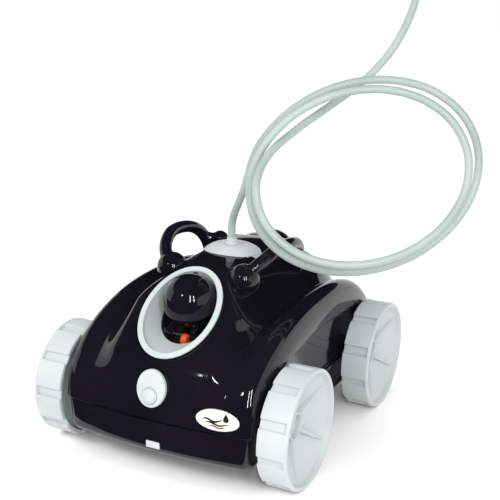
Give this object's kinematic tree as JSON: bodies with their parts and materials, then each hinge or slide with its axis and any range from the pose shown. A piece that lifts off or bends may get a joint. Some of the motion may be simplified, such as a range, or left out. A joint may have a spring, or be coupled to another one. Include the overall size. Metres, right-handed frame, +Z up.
{
  "type": "pool cleaner",
  "caption": "Four-wheeled jet-drive pool cleaner with a glossy domed shell, sloped oval jet bezels, loop handles and a floating cable.",
  "frame": {"origin": "on the floor, midway between the four wheels", "axes": "+Z up, -Y is the front jet, +X is the side to the right of someone who looks at the front"},
  "size_m": [0.4452, 0.4192, 0.598],
  "materials": {
    "gloss_black": "high gloss",
    "satin_black": "satin",
    "light_grey": "satin",
    "steel": "bright",
    "orange": "matte",
    "ivory": "printed",
    "cable_grey": "satin",
    "filter_cloth": "woven"
  },
  "bodies": {
    "chassis": {"upper_shell": "gloss_black", "lower_shell": "gloss_black", "left_side_panel": "gloss_black", "right_side_panel": "gloss_black", "left_handle": "gloss_black", "right_handle": "gloss_black", "bottom_lid": "satin_black", "pump_motor": "satin_black", "jet_duct": "satin_black", "filter_frame": "satin_black", "front_catch": "satin_black", "front_nozzle_cup": "satin_black", "front_left_axle_housing": "satin_black", "front_right_axle_housing": "satin_black", "rear_catch": "satin_black", "rear_nozzle_cup": "satin_black", "rear_left_axle_housing": "satin_black", "rear_right_axle_housing": "satin_black", "cable_cap": "light_grey", "left_cap_screw": "light_grey", "right_cap_screw": "light_grey", "cable_gland": "light_grey", "cable_hanger": "light_grey", "front_bezel": "light_grey", "front_button_plate": "light_grey", "rear_bezel": "light_grey", "rear_button_plate": "light_grey", "front_flap_pin": "steel", "front_left_axle": "steel", "front_right_axle": "steel", "rear_flap_pin": "steel", "rear_left_axle": "steel", "rear_right_axle": "steel", "front_flap_stop": "orange", "rear_flap_stop": "orange", "emblem_plate": "ivory", "floating_cable": "cable_grey", "filter_bag": "filter_cloth"},
    "front_left_wheel_body": {"front_left_wheel": "light_grey", "front_left_hub_cap": "light_grey"},
    "front_right_wheel_body": {"front_right_wheel": "light_grey", "front_right_hub_cap": "light_grey"},
    "front_jet_flap_body": {"front_jet_flap": "gloss_black"},
    "front_button_body": {"front_release_button": "light_grey"},
    "front_latch_body": {"front_lid_latch": "light_grey"},
    "front_intake_body": {"front_intake_flap": "satin_black"},
    "rear_left_wheel_body": {"rear_left_wheel": "light_grey", "rear_left_hub_cap": "light_grey"},
    "rear_right_wheel_body": {"rear_right_wheel": "light_grey", "rear_right_hub_cap": "light_grey"},
    "rear_jet_flap_body": {"rear_jet_flap": "gloss_black"},
    "rear_button_body": {"rear_release_button": "light_grey"},
    "rear_latch_body": {"rear_lid_latch": "light_grey"},
    "rear_intake_body": {"rear_intake_flap": "satin_black"},
    "impeller_body": {"impeller": "light_grey", "motor_shaft": "steel"}
  },
  "joints": [
    {"name": "front_left_wheel_spin", "type": "hinge", "parent": "chassis", "child": "front_left_wheel_body", "pos_m": [-0.1466, -0.127, 0.07], "axis": [1, 0, 0], "continuous": true},
    {"name": "front_right_wheel_spin", "type": "hinge", "parent": "chassis", "child": "front_right_wheel_body", "pos_m": [0.1466, -0.127, 0.07], "axis": [1, 0, 0], "continuous": true},
    {"name": "front_jet_flap_hinge", "type": "hinge", "parent": "chassis", "child": "front_jet_flap_body", "pos_m": [0, -0.12991, 0.1535], "axis": [1, 0, 0], "range_deg": [0, 35], "stiffness_Nm_per_rad": 0.05},
    {"name": "front_button_press", "type": "slide", "parent": "chassis", "child": "front_button_body", "axis": [0, 0.9806, -0.1959], "range_m": [0, 0.003], "stiffness_N_per_m": 300},
    {"name": "front_latch_press", "type": "slide", "parent": "chassis", "child": "front_latch_body", "axis": [0, 1, 0], "range_m": [0, 0.003], "stiffness_N_per_m": 300},
    {"name": "front_intake_hinge", "type": "hinge", "parent": "chassis", "child": "front_intake_body", "pos_m": [0, -0.05, 0.0327], "axis": [1, 0, 0], "range_deg": [0, 55]},
    {"name": "rear_left_wheel_spin", "type": "hinge", "parent": "chassis", "child": "rear_left_wheel_body", "pos_m": [-0.1466, 0.127, 0.07], "axis": [1, 0, 0], "continuous": true},
    {"name": "rear_right_wheel_spin", "type": "hinge", "parent": "chassis", "child": "rear_right_wheel_body", "pos_m": [0.1466, 0.127, 0.07], "axis": [1, 0, 0], "continuous": true},
    {"name": "rear_jet_flap_hinge", "type": "hinge", "parent": "chassis", "child": "rear_jet_flap_body", "pos_m": [0, 0.12991, 0.1535], "axis": [-1, 0, 0], "range_deg": [0, 35], "stiffness_Nm_per_rad": 0.05},
    {"name": "rear_button_press", "type": "slide", "parent": "chassis", "child": "rear_button_body", "axis": [0, -0.9806, -0.1959], "range_m": [0, 0.003], "stiffness_N_per_m": 300},
    {"name": "rear_latch_press", "type": "slide", "parent": "chassis", "child": "rear_latch_body", "axis": [0, -1, 0], "range_m": [0, 0.003], "stiffness_N_per_m": 300},
    {"name": "rear_intake_hinge", "type": "hinge", "parent": "chassis", "child": "rear_intake_body", "pos_m": [0, 0.05, 0.0327], "axis": [-1, 0, 0], "range_deg": [0, 55]},
    {"name": "impeller_spin", "type": "hinge", "parent": "chassis", "child": "impeller_body", "pos_m": [0, 0, 0.124], "axis": [0, 0, 1], "continuous": true}
  ]
}
